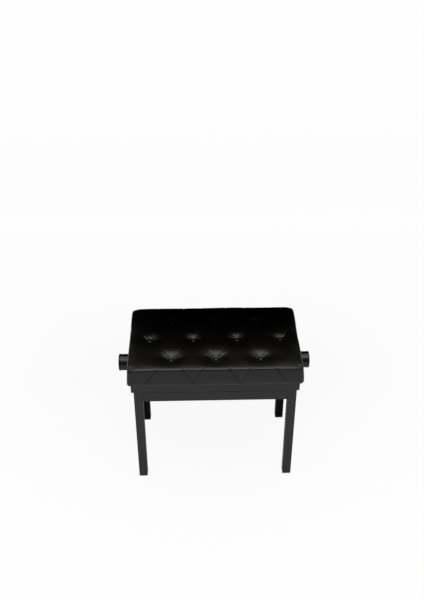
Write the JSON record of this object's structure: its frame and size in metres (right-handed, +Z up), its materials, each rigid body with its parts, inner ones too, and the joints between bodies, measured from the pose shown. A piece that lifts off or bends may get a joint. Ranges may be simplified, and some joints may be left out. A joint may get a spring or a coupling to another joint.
{
  "type": "piano bench",
  "caption": "Height-adjustable piano bench: diamond-tufted black leatherette seat on a wooden frame with straight square legs, raised by a hidden scissor lift and a hand knob on each side.",
  "frame": {"origin": "on the floor under the middle of the bench", "axes": "+Z up, +X to the sitter's right along the knobs' axis, +Y to the back"},
  "size_m": [0.628, 0.336, 0.48],
  "materials": {
    "black_lacquer": "black satin lacquer over wood, fine grain just showing",
    "cushion_leatherette": "black leatherette with a fine pebble grain and a soft sheen, over foam",
    "button_leatherette": "black leatherette pulled over a dome",
    "plywood": "birch plywood",
    "softwood": "raw softwood",
    "felt": "black felt",
    "bumper_rubber": "pale translucent rubber",
    "twine": "waxed upholstery twine",
    "nylon": "natural nylon",
    "black_plastic": "black moulded plastic, semi gloss",
    "brass": "machined brass",
    "zinc_steel": "zinc plated steel",
    "black_steel": "black powder coat on steel"
  },
  "bodies": {
    "lower_frame": {"leg_front_left": "black_lacquer", "leg_front_right": "black_lacquer", "leg_rear_left": "black_lacquer", "leg_rear_right": "black_lacquer", "apron_front": "black_lacquer", "apron_rear": "black_lacquer", "apron_left": "black_lacquer", "apron_right": "black_lacquer", "corner_plate_front_left": "black_steel", "corner_plate_front_right": "black_steel", "corner_plate_rear_left": "black_steel", "corner_plate_rear_right": "black_steel", "hanger_bolts": "zinc_steel", "bolt_washers": "zinc_steel", "wing_nuts": "zinc_steel", "frame_screws": "zinc_steel", "foot_pads": "felt", "bumper_pads": "bumper_rubber", "lower_rail_front": "black_steel", "lower_rail_rear": "black_steel", "lower_pivot_shaft": "zinc_steel", "lower_shaft_rings": "zinc_steel"},
    "seat": {"skirt_front": "black_lacquer", "skirt_rear": "black_lacquer", "skirt_left": "black_lacquer", "skirt_right": "black_lacquer", "seat_board": "plywood", "cushion": "cushion_leatherette", "buttons": "button_leatherette", "button_twines": "twine", "twine_washers": "nylon", "corner_blocks": "softwood", "seat_screws": "zinc_steel", "upper_rail_front": "black_steel", "upper_rail_rear": "black_steel", "upper_pivot_studs": "zinc_steel", "screw_bracket_left": "black_steel", "screw_bracket_right": "black_steel", "bushings": "nylon"},
    "screw_drive": {"lead_screw": "zinc_steel", "knob_left": "black_plastic", "knob_right": "black_plastic", "thrust_collars": "zinc_steel", "knob_set_screws": "zinc_steel"},
    "nut_bar": {"travelling_bar": "black_steel", "drive_nut": "brass", "bar_rollers": "nylon", "bar_rings": "zinc_steel"},
    "outer_arms": {"outer_arm_front": "black_steel", "outer_arm_rear": "black_steel", "arm_tie_tube": "black_steel", "centre_rivets": "zinc_steel"},
    "inner_arms": {"inner_arm_front": "black_steel", "inner_arm_rear": "black_steel", "sliding_shaft": "zinc_steel", "slide_rollers": "nylon", "sliding_shaft_rings": "zinc_steel"}
  },
  "joints": [
    {"name": "seat_lift", "type": "slide", "parent": "lower_frame", "child": "seat", "axis": [0, 0, 1], "range_m": [0, 0.1]},
    {"name": "knob_turn", "type": "hinge", "parent": "seat", "child": "screw_drive", "pos_m": [0, 0, 0.3805], "axis": [1, 0, 0], "range_deg": [0, 2267.1]},
    {"name": "outer_arm_swing", "type": "hinge", "parent": "lower_frame", "child": "outer_arms", "pos_m": [-0.2125, 0, 0.352], "axis": [0, -1, 0], "range_deg": [0, 13.69]},
    {"name": "inner_arm_swing", "type": "hinge", "parent": "outer_arms", "child": "inner_arms", "pos_m": [0, 0, 0.36625], "axis": [0, 1, 0], "range_deg": [0, 27.36]},
    {"name": "bar_swing", "type": "hinge", "parent": "outer_arms", "child": "nut_bar", "pos_m": [0.2125, 0, 0.3805], "axis": [0, 1, 0], "range_deg": [0, 13.69]}
  ],
  "couplings": [
    {"joint": "knob_turn", "follows": "seat_lift", "rad_per_m": 395.6},
    {"joint": "outer_arm_swing", "follows": "seat_lift", "rad_per_m": 2.3857},
    {"joint": "inner_arm_swing", "follows": "seat_lift", "rad_per_m": 4.7714},
    {"joint": "bar_swing", "follows": "seat_lift", "rad_per_m": 2.3857}
  ]
}
